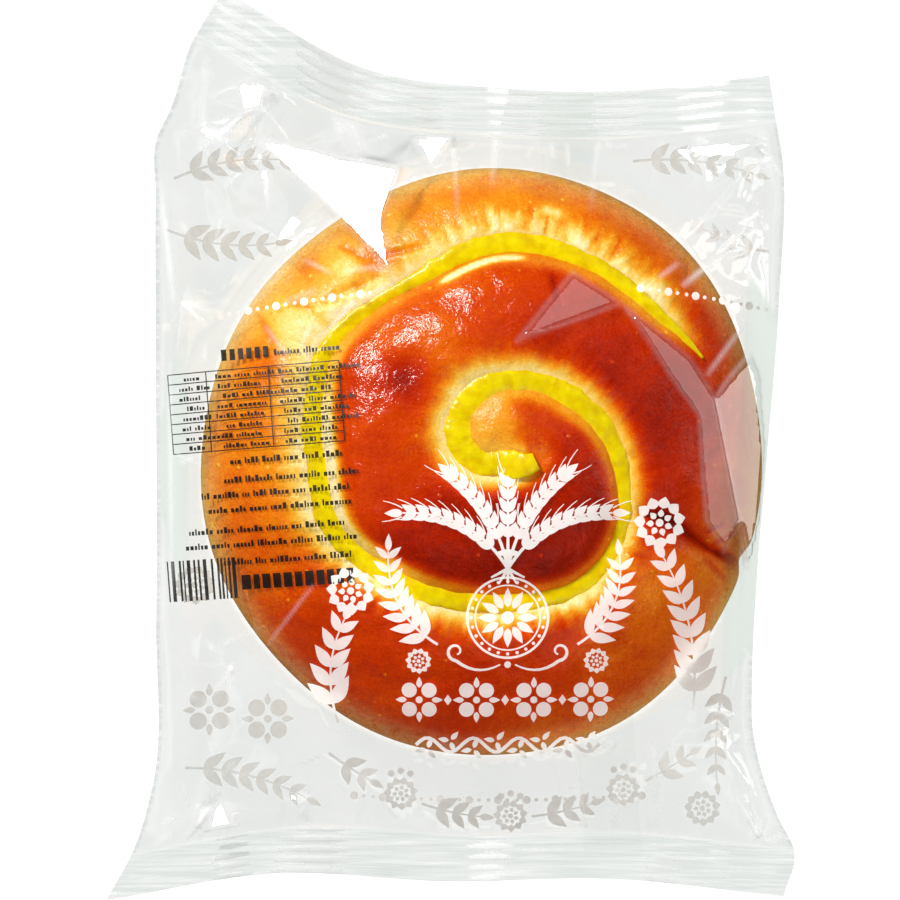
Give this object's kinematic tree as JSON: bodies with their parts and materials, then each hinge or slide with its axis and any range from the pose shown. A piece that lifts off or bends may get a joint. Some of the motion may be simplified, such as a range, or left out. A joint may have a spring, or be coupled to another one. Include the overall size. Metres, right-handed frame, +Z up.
{
  "type": "custard bun",
  "caption": "Round bun coiled into a swirl with custard in its groove, sealed in a clear pillow bag with crimped ends. It lies on its flat underside with the swirl up.",
  "frame": {"origin": "centre of the bag's bounding box, on the surface that the bag lies on", "axes": "+X across the bag, +Y along it towards the crimped end whose corner stands up, +Z up, out of the side that shows the swirl"},
  "size_m": [0.143, 0.1876, 0.037],
  "materials": {
    "clear_film": "clear glossy packing film",
    "crust": "glazed browned bread crust, satin",
    "custard": "baked custard, moist",
    "white_print": "white ink on the film",
    "black_print": "black ink on the film"
  },
  "bodies": {
    "root": {"bag": "clear_film"}
  },
  "joints": []
}
